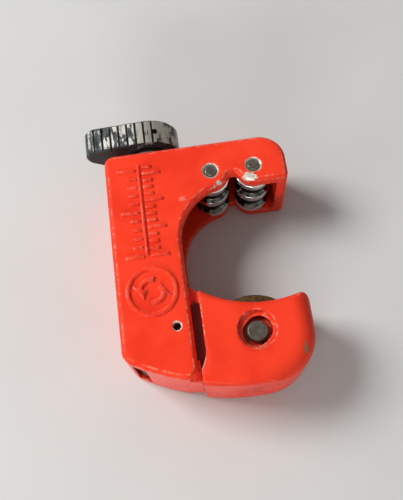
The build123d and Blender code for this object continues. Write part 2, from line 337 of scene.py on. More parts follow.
    def near(self, spot: "Spot") -> Socket:
        """Mask that is full round a spot, with a ragged border.

        Args:
            spot: Where the mask lies and how far it reaches.

        Returns:
            The mask's socket.
        """
        squash = self.add("ShaderNodeVectorMath", operation="MULTIPLY")
        self.join(self.place, squash.inputs[0])
        squash.inputs[1].default_value = spot.stretch
        away = self.add("ShaderNodeVectorMath", operation="DISTANCE")
        self.join(squash.outputs["Vector"], away.inputs[0])
        away.inputs[1].default_value = [
            part * factor * MM for part, factor in zip(spot.place, spot.stretch)
        ]
        uneven = self.noise(0.7, 4.0, 0.6, shift=41.0)
        border = self.span(uneven, 0.3, 0.7, -spot.ragged * MM, spot.ragged * MM)
        distance = self.math("ADD", away.outputs["Value"], border)
        full, gone = (spot.reach - SOFT) * MM, (spot.reach + SOFT) * MM
        return self.span(distance, full, gone, spot.depth, 0.0)

    def specks(self, pitch: float, radius: float, share: float) -> Socket:
        """Small round specks scattered over the surface.

        Args:
            pitch: Mean distance between the places where a speck may lie, in millimetres.
            radius: Radius of a speck.
            share: How many of those places have one.

        Returns:
            The mask's socket.
        """
        cells = self.add("ShaderNodeTexVoronoi")
        cells.inputs["Scale"].default_value = 1.0 / (pitch * MM)
        self.join(self.place, cells.inputs["Vector"])
        dots = self.span(cells.outputs["Distance"], 0.4 * radius / pitch, radius / pitch, 1.0, 0.0)
        chosen = self.math("LESS_THAN", self.axis("X", cells.outputs["Color"]), share)
        return self.math("MULTIPLY", dots, chosen)

    def relief(self, heights: list[tuple[Socket, float]], ease: object) -> None:
        """Bump the surface with several reliefs, one on top of the other.

        Args:
            heights: Height sockets, each with its depth in millimetres.
            ease: Radius in millimetres that rounds sharp edges, as a number or a socket.
        """
        rounded = self.add("ShaderNodeBevel", samples=6)
        self.join(self.math("MULTIPLY", ease, MM), rounded.inputs["Radius"])
        normal = rounded.outputs["Normal"]
        for height, depth in heights:
            bump = self.add("ShaderNodeBump")
            bump.inputs["Strength"].default_value = 1.0
            bump.inputs["Distance"].default_value = depth * MM
            self.join(height, bump.inputs["Height"])
            self.join(normal, bump.inputs["Normal"])
            normal = bump.outputs["Normal"]
        self.join(normal, self.shader.inputs["Normal"])


@dataclass(frozen=True)
class Spot:
    """A worn place: where it is, its reach, how uneven its border is and how fully it shows."""

    place: Place
    reach: float
    ragged: float
    stretch: Place
    depth: float = 1.0


@dataclass(frozen=True)
class Enamel:
    """Glossy red enamel over a die casting, with a faint skin, small pimples and chips, painted shade
    in its hollows, grease and painted shade on the slide's neck, and a painted highlight along its
    rims.
    """

    name: str
    ease: float
    chips: tuple[Spot, ...]
    foot_ease: float | None = None
    foot_y: Point = (-7.0, 1.0)  # where the softer edges are full, and where they end
    # Extent of the slide neck's dark flanks: partly grease, partly painted shade of the frame's
    # channel.
    grease_shade_to: float | None = None
    grease_shade_from: float = -6.4
    grease_shade_top: Point = (9.5, 7.0)  # where the grease and painted shade end, and where they are full
    grease_shade_half_depth: float = 7.0
    grease_shade_ragged: float = 1.2
    grease_rough: float = 0.35
    # Near-black red: grease and painted shade on the neck's flanks, and painted shade in deep
    # recesses.
    grease_shade_colour: Colour = (0.11, 0.004, 0.003)
    red: Colour = (0.90, 0.050, 0.018)
    deep_red: Colour = (0.80, 0.034, 0.011)
    # Pale red of the painted highlight along the rims.
    painted_highlight_red: Colour = (0.98, 0.40, 0.28)
    bare: Colour = (0.66, 0.62, 0.52)
    shine: float = 0.6
    gloss: float = 0.22
    specular: float = 0.04
    coat: float = 0.18
    coat_rough: float = 0.06
    peel_depth: float = 0.010
    cast_depth: float = 0.10
    pimple_depth: float = 0.07
    pimple_pitch: float = 2.6
    pimple_radius: float = 0.22
    pimple_share: float = 0.35
    seam_depth: float = 0.10
    seam_half_width: Point = (0.05, 0.22)  # at its crest and at its foot
    film: float = 0.04

    def make(self) -> bpy.types.Material:
        """Build the material.

        Returns:
            The finished material.
        """
        board = Board(self.name)
        cloud = board.span(board.noise(9.0, 3.0), 0.35, 0.7)
        paint = board.blend(cloud, self.red, self.deep_red)
        # Darker red in corners and grooves: painted shade.
        paint = board.blend(board.hollows(1.6, 0.35, 0.8), paint, self.deep_red)
        # Pale broken lines along the rims: painted highlight.
        paint = board.blend(self.painted_highlight_rims(board), paint, self.painted_highlight_red)
        # Near-black in deep recesses: painted shade.
        paint = board.blend(board.hollows(11.0, 0.12, 0.52), paint, self.grease_shade_colour)
        rough = board.span(board.noise(2.4, 5.0, shift=7.0), 0.3, 0.75, self.gloss, self.gloss + 0.14)
        # Neck's flanks darkened: partly grease, partly painted shade of the channel.
        if self.grease_shade_to is not None:
            grease_shaded_mask = self.grease_shade_places(board)
            paint = board.blend(grease_shaded_mask, paint, self.grease_shade_colour)
            rough = board.math("ADD", rough, board.math("MULTIPLY", grease_shaded_mask, self.grease_rough))
        bare = self.bare_places(board)
        board.surface(
            {
                "Base Color": board.blend(bare, paint, self.bare),
                "Roughness": rough,
                "Metallic": board.math("MULTIPLY", bare, self.shine),
                "Specular IOR Level": self.specular,
                "Coat Weight": self.coat,
                "Coat Roughness": self.coat_rough,
            }
        )
        pimples = board.specks(self.pimple_pitch, self.pimple_radius, self.pimple_share)
        board.relief(
            [
                (board.noise(5.0, 2.0, shift=3.0), self.cast_depth),
                (board.noise(0.55, 3.0, shift=11.0), self.peel_depth),
                (pimples, self.pimple_depth),
                (self.seam(board), self.seam_depth),
                (board.math("SUBTRACT", 1.0, bare), self.film),
            ],
            ease=self.rounding(board),
        )
        return board.material

    def rounding(self, board: Board) -> object:
        """Radius of the edges in millimetres, which may be softer towards the foot.

        Args:
            board: Node tree of the material.

        Returns:
            A number, or the socket of a radius that changes along Y.
        """
        if self.foot_ease is None:
            return self.ease
        low, high = self.foot_y
        return board.span(board.axis("Y"), low * MM, high * MM, self.foot_ease, self.ease)

    def painted_highlight_rims(self, board: Board) -> Socket:
        """Mask of the rims, painted paler in broken lines as a painted highlight.

        Args:
            board: Node tree of the material.

        Returns:
            The mask's socket.
        """
        broken = board.span(board.noise(1.1, 4.0, 0.65, shift=53.0), 0.45, 0.62, 0.0, 0.75)
        return board.math("MULTIPLY", board.edges(0.6, 0.008, 0.05), broken)

    def bare_places(self, board: Board) -> Socket:
        """Mask of the places where the enamel has come off.

        Args:
            board: Node tree of the material.

        Returns:
            The mask's socket.
        """
        broken = board.span(board.noise(1.8, 6.0, 0.7, shift=31.0), 0.64, 0.69)
        rims = board.math("MULTIPLY", board.edges(0.4, 0.05, 0.2), broken)
        return board.fold("MAXIMUM", [rims, *(board.near(chip) for chip in self.chips)])

    def grease_shade_places(self, board: Board) -> Socket:
        """Mask of the neck's flanks, which run in the frame's channel and are darkened: partly
        grease, partly painted shade.

        Args:
            board: Node tree of the material.

        Returns:
            The mask's socket.
        """
        ragged, half = self.grease_shade_ragged, self.grease_shade_half_depth
        border = board.span(board.noise(2.2, 4.0, shift=29.0), 0.3, 0.7, -ragged * MM, ragged * MM)
        walls = (
            (board.axis("X"), self.grease_shade_to, self.grease_shade_to - SOFT),
            (board.math("ADD", board.axis("Y"), border), *self.grease_shade_top),
            (board.axis("Y"), self.grease_shade_from - SOFT, self.grease_shade_from + SOFT),
            (board.off_middle(), half + SOFT, half - SOFT),
        )
        masks = [board.span(place, outside * MM, inside * MM) for place, outside, inside in walls]
        return board.fold("MULTIPLY", masks)

    def seam(self, board: Board) -> Socket:
        """Height of the mould's parting seam, halfway through the casting.

        Args:
            board: Node tree of the material.

        Returns:
            The height's socket.
        """
        crest, edge = self.seam_half_width
        return board.span(board.off_middle(), crest * MM, edge * MM, 1.0, 0.0)


@dataclass(frozen=True)
class WornBlack:
    """Black paint rubbed off to bare metal, most of all on the hub and on the ridges' tops."""

    name: str = "worn_black_paint"
    black: Colour = (0.014, 0.016, 0.017)
    grey: Colour = (0.085, 0.095, 0.095)
    bare: Colour = (0.52, 0.51, 0.46)
    hub_bare: Colour = (0.33, 0.31, 0.26)
    dull: Colour = (0.20, 0.19, 0.16)
    tip_x: float = -12.0
    hub_x: float = -4.5
    film: float = 0.05

    def make(self) -> bpy.types.Material:
        """Build the material.

        Returns:
            The finished material.
        """
        board = Board(self.name)
        streaks = board.noise(0.8, 4.0, 0.6, (1.0, 0.22, 1.0), shift=2.0)
        patches = board.noise(2.6, 4.0, 0.66, (1.0, 0.6, 1.0), shift=19.0)
        handled = board.span(board.axis("X"), self.tip_x * MM, self.hub_x * MM)
        facing = board.add("ShaderNodeTexCoord").outputs["Normal"]
        upright = board.math("ABSOLUTE", board.axis("Y", facing))
        worn = self.worn_level(board, streaks, patches, handled, upright)
        sides = board.math("SUBTRACT", 1.0, upright)
        scuffed = board.math("MULTIPLY", board.span(streaks, 0.36, 0.60), sides)
        paint = board.blend(scuffed, self.black, self.grey)
        fine = board.noise(0.3, 3.0, 0.6, (1.0, 0.1, 1.0), shift=61.0)
        near_hub = board.span(board.axis("X"), (self.hub_x + 0.5) * MM, (self.hub_x + 3.5) * MM)
        metal = board.blend(near_hub, self.bare, self.hub_bare)
        dull = board.blend(board.span(fine, 0.35, 0.6), self.dull, metal)
        tarnish = board.blend(board.span(streaks, 0.35, 0.6), dull, metal)
        board.surface(
            {
                "Base Color": board.blend(worn, paint, tarnish),
                "Metallic": board.math("MULTIPLY", worn, 0.75),
                "Roughness": board.span(streaks, 0.3, 0.7, 0.36, 0.55),
                "Specular IOR Level": 0.25,
            }
        )
        board.relief([(streaks, 0.06), (board.math("SUBTRACT", 1.0, worn), self.film)], ease=0.12)
        return board.material

    def worn_level(
        self,
        board: Board,
        streaks: Socket,
        patches: Socket,
        handled: Socket,
        upright: Socket,
    ) -> Socket:
        """Mask of the rubbed metal.

        Args:
            board: Node tree of the material.
            streaks: Fine marks along the knob's axis.
            patches: Broad patches.
            handled: How near a place is to the hub.
            upright: 1 on the two flat ends, 0 on the side.

        Returns:
            The mask's socket.
        """
        parts = (
            (streaks, 0.8),
            (patches, 1.5),
            (handled, 0.30),
            (upright, -0.40),
            (board.edges(0.5, 0.02, 0.15), 0.10),
            (board.hollows(1.2, 0.5, 0.9), -0.55),
        )
        terms = [board.math("MULTIPLY", part, weight) for part, weight in parts]
        return board.span(board.fold("ADD", terms), 1.32, 1.40)


@dataclass(frozen=True)
class TurnedMetal:
    """Bare metal with fine marks that run round the piece, and some tarnish."""

    name: str
    bright: Colour
    tarnish: Colour
    spin: Spin
    smooth: float = 0.2
    rough: float = 0.4
    stain_size: float = 2.5
    stain_from: float = 0.5
    mark_depth: float = 0.012
    # Height bands of the roller grooves that get a painted dark reflection.
    dark_reflection_bands: tuple[Point, ...] = ()
    band_border: float = 0.35
    # Colour of the painted dark reflection in the grooves.
    dark_reflection_colour: Colour = (0.030, 0.030, 0.022)

    def make(self) -> bpy.types.Material:
        """Build the material.

        Returns:
            The finished material.
        """
        board = Board(self.name)
        along = (0.08, 1.0, 0.08) if self.spin is Spin.ALONG_SCREW else (0.08, 0.08, 1.0)
        marks = board.noise(0.12, 2.0, 0.5, along)
        stain = board.span(board.noise(self.stain_size, 6.0, 0.65, shift=13.0), self.stain_from, 0.75)
        colour = board.blend(stain, self.bright, self.tarnish)
        rough = board.span(stain, 0.0, 1.0, self.smooth, self.rough)
        if self.dark_reflection_bands:
            # Painted dark reflection in the roller grooves.
            colour = board.blend(self.dark_reflection_mask(board), colour, self.dark_reflection_colour)
        board.surface({"Base Color": colour, "Metallic": 1.0, "Roughness": rough})
        board.relief([(marks, self.mark_depth), (board.noise(0.8, 4.0, shift=23.0), 0.01)], ease=0.06)
        return board.material

    def dark_reflection_mask(self, board: Board) -> Socket:
        """Mask of the roller grooves that get a painted dark reflection, with a patchy border.

        Args:
            board: Node tree of the material.

        Returns:
            The mask's socket.
        """
        patchy = board.span(board.noise(1.4, 5.0, 0.65, shift=37.0), 0.3, 0.6, 0.82, 1.0)
        bands = []
        for low, high in self.dark_reflection_bands:
            rise = board.span(board.axis("Z"), low * MM, (low + self.band_border) * MM)
            fall = board.span(board.axis("Z"), (high - self.band_border) * MM, high * MM, 1.0, 0.0)
            bands.append(board.math("MULTIPLY", rise, fall))
        return board.math("MULTIPLY", board.fold("MAXIMUM", bands), patchy)


@dataclass(frozen=True)
class Blackened:
    """Steel with a dark oxide skin that is rubbed bright on its edges."""

    name: str
    dark: Colour = (0.058, 0.050, 0.038)
    brown: Colour = (0.105, 0.085, 0.060)
    bright: Colour = (0.55, 0.52, 0.46)

    def make(self) -> bpy.types.Material:
        """Build the material.

        Returns:
            The finished material.
        """
        board = Board(self.name)
        cloud = board.span(board.noise(1.1, 5.0, 0.6, shift=5.0), 0.38, 0.68)
        skin = board.blend(cloud, self.dark, self.brown)
        rubbed = board.math(
            "MULTIPLY",
            board.edges(0.25, 0.02, 0.16),
            board.span(board.noise(0.8, 4.0, shift=15.0), 0.35, 0.55, 0.35, 1.0),
        )
        board.surface(
            {
                "Base Color": board.blend(rubbed, skin, self.bright),
                "Metallic": board.span(rubbed, 0.0, 1.0, 0.35, 1.0),
                "Roughness": board.span(cloud, 0.0, 1.0, 0.32, 0.46),
            }
        )
        board.relief([(board.noise(0.35, 4.0, shift=9.0), 0.012)], ease=0.15)
        return board.material


def seen_directly(tree: bpy.types.NodeTree) -> Socket:
    """Tell the rays that show a surface from those that carry its light to other surfaces.

    Args:
        tree: Node tree that takes the nodes.

    Returns:
        A socket that is 1 for camera, glossy and transmission rays and 0 for the rest.
    """
    path = tree.nodes.new("ShaderNodeLightPath")
    seen = path.outputs["Is Camera Ray"]
    for ray in ("Is Glossy Ray", "Is Transmission Ray"):
        either = tree.nodes.new("ShaderNodeMath")
        either.operation = "MAXIMUM"
        tree.links.new(seen, either.inputs[0])
        tree.links.new(path.outputs[ray], either.inputs[1])
        seen = either.outputs["Value"]
    return seen


def new_object(name: str, data: bpy.types.ID) -> bpy.types.Object:
    """Put a mesh, a lamp or a camera into the scene.

    Args:
        name: Name of the object.
        data: What it shows, lights or sees with.

    Returns:
        The new object.
    """
    thing = bpy.data.objects.new(name, data)
    bpy.context.scene.collection.objects.link(thing)
    return thing


def join_rings(work: bmesh.types.BMesh, rings: list[list[bmesh.types.BMVert]]) -> None:
    """Span a band of faces from each closed ring of points to the next.

    Args:
        work: Mesh being built.
        rings: The rings in order, all with the same number of points.
    """
    for lower, upper in zip(rings, rings[1:]):
        for index in range(len(lower)):
            after = (index + 1) % len(lower)
            work.faces.new((lower[index], lower[after], upper[after], upper[index]))


def close_mesh(
    name: str, work: bmesh.types.BMesh, material: bpy.types.Material, sharp: float
) -> bpy.types.Object:
    """Turn a built mesh into an object, smooth apart from its edges.

    Args:
        name: Name of the object.
        work: The mesh, which is used up.
        material: Its finish.
        sharp: Bend in degrees above which an edge stays sharp.

    Returns:
        The new object.
    """
    bmesh.ops.recalc_face_normals(work, faces=work.faces)
    mesh = bpy.data.meshes.new(name)
    work.to_mesh(mesh)
    work.free()
    mesh.shade_smooth()
    mesh.set_sharp_from_angle(angle=math.radians(sharp))
    mesh.materials.append(material)
    return new_object(name, mesh)


def eased(profile: list[Point], radius: float, steps: int = 4, most: float = 0.45) -> list[Point]:
    """Round the corners of a closed outline.

    Args:
        profile: Corners in order.
        radius: Radius of the rounding, less at short sides.
        steps: Points along each rounding, less one.
        most: Largest share of a side that one rounding takes up.

    Returns:
        The outline with arcs at its corners.
    """
    rounded = []
    for index, corner in enumerate(profile):
        here = Vector(corner)
        before = Vector(profile[index - 1]) - here
        after = Vector(profile[(index + 1) % len(profile)]) - here
        turn = before.angle(after)
        reach = min(radius / math.tan(turn / 2), before.length * most, after.length * most)
        start = here + before.normalized() * reach
        end = here + after.normalized() * reach
        for step in range(steps + 1):
            share = step / steps
            point = start * (1 - share) ** 2 + here * 2 * share * (1 - share) + end * share**2
            rounded.append((point.x, point.y))
    return rounded


@dataclass
class Turned:
    """A piece turned on a lathe: a closed outline of radius and height, swept once round."""

    name: str
    centre: Point
    outline: list[Point]
    spin: Spin
    segments: int = 96

    def place(self, radius: float, height: float, angle: float) -> Vector:
        """Point of the piece in metres.

        Args:
            radius: Distance from the axis.
            height: Distance along the axis.
            angle: Turn about the axis in radians.

        Returns:
            The point.
        """
        out, side = radius * math.cos(angle), radius * math.sin(angle)
        if self.spin is Spin.ALONG_PIN:
            return Vector((self.centre[0] + out, self.centre[1] + side, height)) * MM
        return Vector((self.centre[0] + out, height, self.centre[1] + side)) * MM

    def build(self, material: bpy.types.Material, sharp: float) -> bpy.types.Object:
        """Make the mesh.

        Args:
            material: Finish of the piece.
            sharp: Angle in degrees above which an edge stays sharp.

        Returns:
            The new object.
        """
        work = bmesh.new()
        rings = []
        for index in range(self.segments):
            angle = math.tau * index / self.segments
            rings.append([work.verts.new(self.place(r, h, angle)) for r, h in self.outline])
        join_rings(work, rings + rings[:1])
        return close_mesh(self.name, work, material, sharp)


@dataclass
class Paints:
    """The finishes, made once and shared."""

    frame_enamel: bpy.types.Material
    head_enamel: bpy.types.Material
    black: bpy.types.Material
    chrome: bpy.types.Material
    screw: bpy.types.Material
    spring: bpy.types.Material
    pin: bpy.types.Material
    cross_pin: bpy.types.Material
    wheel: bpy.types.Material

    @classmethod
    def mix(cls) -> "Paints":
        """Make every finish.

        Returns:
            The set of finishes.
        """
        pin, screw = Spin.ALONG_PIN, Spin.ALONG_SCREW
        through = (1.0, 1.0, 0.0)  # the same at every depth of the casting
        frame_chips = (
            Spot((13.3, 36.3, 0.0), 1.8, 0.11, through),
            Spot((22.7, 36.3, 0.0), 1.8, 0.11, through),
            Spot((21.4, 33.6, 19.0), 1.0, 0.3, (0.62, 1.0, 0.6)),
            Spot((13.7, 32.5, 19.0), 0.34, 0.2, (0.5, 1.0, 0.4)),
            Spot((14.8, 33.1, 19.0), 0.38, 0.2, (0.5, 1.0, 0.4)),
            Spot((2.08, 2.98, 19.0), 1.02, 0.14, (1.0, 1.0, 0.3)),
            Spot((6.4, 30.6, 19.0), 0.45, 0.4, (0.7, 1.0, 1.0), 0.22),
        )
        head_chips = (
            Spot((26.6, -4.6, 17.0), 0.62, 0.25, (1.2, 0.5, 0.25), 0.8),
            Spot((15.7, 2.9, 18.0), 0.3, 0.3, (0.6, 1.0, 1.0), 0.7),
        )
        finishes = {
            "frame_enamel": Enamel("red_enamel_frame", ease=0.95, chips=frame_chips),
            "head_enamel": Enamel(
                "red_enamel_head",
                ease=0.6,
                chips=head_chips,
                foot_ease=2.6,
                grease_shade_to=7.08,
                bare=(0.26, 0.17, 0.10),
                shine=0.25,
            ),
            "black": WornBlack(),
            "chrome": TurnedMetal(
                "chrome_plate",
                bright=(0.90, 0.89, 0.85),
                tarnish=(0.46, 0.43, 0.36),
                spin=pin,
                smooth=0.12,
                rough=0.3,
                stain_size=1.6,
                stain_from=0.55,
                mark_depth=0.004,
                # Roller grooves painted dark: painted dark reflection.
                dark_reflection_bands=((4.4, 8.85), (10.15, 14.6)),
            ),
            "screw": TurnedMetal(
                "turned_steel",
                bright=(0.80, 0.79, 0.76),
                tarnish=(0.42, 0.39, 0.33),
                spin=screw,
                rough=0.42,
                stain_from=0.52,
            ),
            "spring": TurnedMetal(
                "dark_spring_steel",
                bright=(0.16, 0.155, 0.15),
                tarnish=(0.07, 0.06, 0.05),
                spin=pin,
                smooth=0.3,
                rough=0.5,
            ),
            "pin": Blackened("blackened_pin_steel"),
            # Near-black oxide, darkened further as painted shade, so the pin's end reads as the dark
            # hole it sits in.
            "cross_pin": Blackened(
                "blackened_shaded_cross_pin",
                dark=(0.012, 0.012, 0.012),
                brown=(0.030, 0.028, 0.025),
                bright=(0.12, 0.11, 0.10),
            ),
            "wheel": TurnedMetal(
                "tarnished_wheel_steel",
                bright=(0.13, 0.070, 0.032),
                tarnish=(0.045, 0.022, 0.010),
                spin=pin,
                smooth=0.44,
                rough=0.6,
                stain_size=0.9,
                stain_from=0.38,
            ),
        }
        return cls(**{name: finish.make() for name, finish in finishes.items()})


class Dresser:
    """Gives CAD nodes their finishes and ties new pieces to their bodies."""

    def __init__(self, frame: dict) -> None:
        """Keep the loaded frame.
        """
        self.nodes = frame["nodes"]

    def finish_node(self, node: str, material: bpy.types.Material) -> None:
        """Give a CAD node its finish.

        Args:
            node: Name of the node.
            material: Finish it gets.
        """
        for slot in self.nodes[node].material_slots:
            slot.material = material
        LOG.info("dressed %s", node)

    def tie(self, piece: bpy.types.Object, body: Body, slot: Slot, *nodes: str) -> None:
        """Make a piece move with a body, and let it stand for nodes.

        Args:
            piece: The new piece.
            body: Body that it rides on.
            slot: Not used.
            *nodes: CAD nodes that it replaces.
        """
        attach(piece, body.value)
        if nodes:
            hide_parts(*nodes)
        LOG.info("built %s on %s", piece.name, body.value)


@dataclass
class FrameCasting:
    """The C-shaped frame, with a raised double scale and two raised turning arrows in a ring."""

    relief: float = 0.42
    sunk: float = 0.12
    slope: float = 0.16
    stroke: float = 0.9
    ring_stroke: float = 1.15
    scale_x: float = -2.3
    scale_start: float = 18.6
    scale_end: float = 40.0
    scale_gap: float = 0.55
    metric_pitch: float = 2.0
    metric_group: int = 5
    inch_pitch: float = 1.5875
    inch_group: int = 4
    short_rib: float = 2.4
    long_rib: float = 4.2
    badge_x: float = -2.2
    badge_y: float = 10.9
    badge_radius: float = 4.95
    arrow_radius: float = 2.5
    arrow_stroke: float = 1.15
    arrow_head: float = 3.2
    arrow_point: float = 0.8  # length of the head as a share of its width
    arrow_starts: Point = (70.0, 250.0)  # degrees, as is the sweep
    arrow_sweep: float = 92.0
    arrow_steps: int = 24
    sharp: float = 60.0

    def dress(self, dresser: Dresser, paints: Paints) -> None:
        """Finish the casting and raise its marks.

        Args:
            dresser: Ties pieces to bodies.
            paints: The finishes.
        """
        enamel = paints.frame_enamel
        dresser.finish_node("frame", enamel)
        centre = (self.badge_x, self.badge_y)
        ring = Turned("raised_ring", centre, self.ring_outline(), Spin.ALONG_PIN, segments=72)
        arrows = [self.arrow_outline(start) for start in self.arrow_starts]
        marks = (
            self.raise_marks("raised_scale", self.scale_outlines(), enamel),
            ring.build(enamel, self.sharp),
            self.raise_marks("turning_arrows", arrows, enamel),
        )
        for piece in marks:
            dresser.tie(piece, Body.FRAME, Slot.PAINT)

    def levels(self) -> list[Point]:
        """Steps of a mark's flank, from its foot to its top.

        Returns:
            For each step, the height above the back face and the distance inside the outline.
        """
        return [
            (BODY_DEPTH - self.sunk, 0.0),
            (BODY_DEPTH + self.relief * 0.55, self.slope * 0.5),
            (BODY_DEPTH + self.relief * 0.85, self.slope),
            (BODY_DEPTH + self.relief, self.slope * 1.8),
        ]

    def raise_marks(
        self, name: str, outlines: list[list[Point]], material: bpy.types.Material
    ) -> bpy.types.Object:
        """Raise marks from the front cheek.

        Args:
            name: Name of the piece.
            outlines: Corners of each mark in order, anticlockwise.
            material: Finish.

        Returns:
            The new piece.
        """
        work = bmesh.new()
        for outline in outlines:
            self.raise_outline(work, outline)
        return close_mesh(name, work, material, self.sharp)

    def raise_outline(self, work: bmesh.types.BMesh, outline: list[Point]) -> None:
        """Raise one flat outline, its flank sloped and its top eased.

        Args:
            work: Mesh being built.
            outline: Corners in order, anticlockwise.
        """
        count = len(outline)
        rings = []
        for height, inset in self.levels():
            ring = []
            for index, corner in enumerate(outline):
                before, after = Vector(outline[index - 1]), Vector(outline[(index + 1) % count])
                along = (after - before).normalized()
                spot = Vector(corner) + Vector((-along.y, along.x)) * inset
                ring.append(work.verts.new(Vector((spot.x, spot.y, height)) * MM))
            rings.append(ring)
        join_rings(work, rings)
        work.faces.new(rings[-1])
        work.faces.new(list(reversed(rings[0])))

    def ring_outline(self) -> list[Point]:
        """Outline of the badge's ring as radius and height.

        Returns:
            Its corners, up the outer flank and down the inner one.
        """
        half = self.ring_stroke / 2
        outer = [(self.badge_radius + half - inset, height) for height, inset in self.levels()]
        inner = [(self.badge_radius - half + inset, height) for height, inset in self.levels()]
        return outer + inner[::-1]

    def scale_outlines(self) -> list[list[Point]]:
        """Outlines of the double scale: a spine, metric ribs at its left and inch ribs at its right.

        Returns:
            The outlines, each anticlockwise.
        """
        whole = self.scale_end - self.scale_start
        bars = [(self.scale_x, self.scale_start + whole / 2, 0.0, whole)]
        scales = ((-1, self.metric_pitch, self.metric_group), (1, self.inch_pitch, self.inch_group))
        for side, pitch, group in scales:
            for index in range(int(whole / pitch) + 1):
                length = self.long_rib if index % group == 0 else self.short_rib
                middle = self.scale_x + side * (self.scale_gap + length / 2)
                bars.append((middle, self.scale_start + index * pitch, length, 0.0))
        outlines = []
        for x, y, length, height in bars:
            across = max(length, self.stroke) / 2
            along = max(height, self.stroke) / 2
            corners = [(x + right * across, y + up * along) for right, up in CORNERS]
            outlines.append(eased(corners, self.stroke * 0.45))
        return outlines

    def arrow_outline(self, start: float) -> list[Point]:
        """Outline of one curved arrow of the pair that says that the cutter is turned.

        Args:
            start: Angle of the arrow's tail in degrees.

        Returns:
            Its corners, anticlockwise.
        """
        half = self.arrow_stroke / 2
        tail = math.radians(start)
        neck = tail + math.radians(self.arrow_sweep)
        tip = neck + self.arrow_point * self.arrow_head / self.arrow_radius

        def spot(radius: float, angle: float) -> Point:
            """Point on the arrow, from the badge's centre."""
            return (self.badge_x + radius * math.cos(angle), self.badge_y + radius * math.sin(angle))

        steps = self.arrow_steps
        turns = [tail + (neck - tail) * step / steps for step in range(steps + 1)]
        outline = [spot(self.arrow_radius + half, turn) for turn in turns]
        outline.append(spot(self.arrow_radius + self.arrow_head / 2, neck))
        outline.append(spot(self.arrow_radius, tip))
        outline.append(spot(self.arrow_radius - self.arrow_head / 2, neck))
        outline.extend(spot(self.arrow_radius - half, turn) for turn in reversed(turns))
        return outline


@dataclass
class RollerPair:
    """The two grooved rollers and the pins that they turn on."""

    centre_x: float = 18.0
    line_y: float = 36.3
    spacing: float = 9.4
    radius: float = 4.1
    root: float = 3.2
    bore: float = 1.45
    back: float = 3.0
    flange: float = 1.6
    ridge: float = 1.6
    slope: float = 0.7
    ease: float = 0.28
    sharp: float = 50.0

    def outline(self) -> list[Point]:
        """Outline of a roller as radius and height.

        Returns:
            Its corners, eased.
        """
        front = BODY_DEPTH - self.back
        low, high = MID_DEPTH - self.ridge / 2, MID_DEPTH + self.ridge / 2
        corners = [
            (self.bore, self.back),
            (self.radius, self.back),
            (self.radius, self.back + self.flange),
            (self.root, self.back + self.flange + self.slope),
            (self.root, low - self.slope),
            (self.radius, low),
            (self.radius, high),
            (self.root, high + self.slope),
            (self.root, front - self.flange - self.slope),
            (self.radius, front - self.flange),
            (self.radius, front),
            (self.bore, front),
        ]
        return eased(corners, self.ease)

    def dress(self, dresser: Dresser, paints: Paints) -> None:
        """Turn the rollers and finish their pins.

        Args:
            dresser: Ties pieces to bodies.
            paints: The finishes.
        """
        sides = (
            ("inner_roller", self.centre_x - self.spacing / 2, Body.INNER_ROLLER),
            ("outer_roller", self.centre_x + self.spacing / 2, Body.OUTER_ROLLER),
        )
        for node, x, body in sides:
            turned = Turned(node + "_turned", (x, self.line_y), self.outline(), Spin.ALONG_PIN)
            dresser.tie(turned.build(paints.chrome, self.sharp), body, Slot.CHROME, node)
            dresser.finish_node(node + "_pin", paints.pin)


@dataclass
class CuttingHead:
    """The sliding head with its wheel, the wheel's axle and the axle's clip."""

    axle_x: float = 17.85
    wheel_radius: float = 9.9
    wheel_edge: float = 0.12
    disc: float = 1.6
    bevel: float = 3.2
    hub_radius: float = 5.0
    hub_width: float = 5.4
    bore: float = 2.25
    wheel_ease: float = 0.06
    wheel_segments: int = 128
    wheel_sharp: float = 8.0

    def wheel_outline(self) -> list[Point]:
        """Outline of the wheel as radius and height.

        Returns:
            Its corners, slightly eased.
        """
        half_hub, half_disc, half_edge = self.hub_width / 2, self.disc / 2, self.wheel_edge / 2
        shoulder = self.wheel_radius - self.bevel
        side = [
            (self.bore, half_hub),
            (self.hub_radius, half_hub),
            (self.hub_radius, half_disc),
            (shoulder, half_disc),
            (self.wheel_radius, half_edge),
        ]
        upper = [(radius, MID_DEPTH + height) for radius, height in side]
        lower = [(radius, MID_DEPTH - height) for radius, height in reversed(side)]
        return eased(upper + lower, self.wheel_ease, 2)

    def dress(self, dresser: Dresser, paints: Paints) -> None:
        """Finish the head and turn its wheel.

        Args:
            dresser: Ties pieces to bodies.
            paints: The finishes.
        """
        dresser.finish_node("slide", paints.head_enamel)
        dresser.finish_node("wheel_axle", paints.pin)
        dresser.finish_node("axle_clip", paints.spring)
        centre, outline = (self.axle_x, 0.0), self.wheel_outline()
        wheel = Turned("wheel_ground", centre, outline, Spin.ALONG_PIN, self.wheel_segments)
        ground = wheel.build(paints.wheel, self.wheel_sharp)
        dresser.tie(ground, Body.WHEEL, Slot.WHEEL_STEEL, "cutter_wheel")


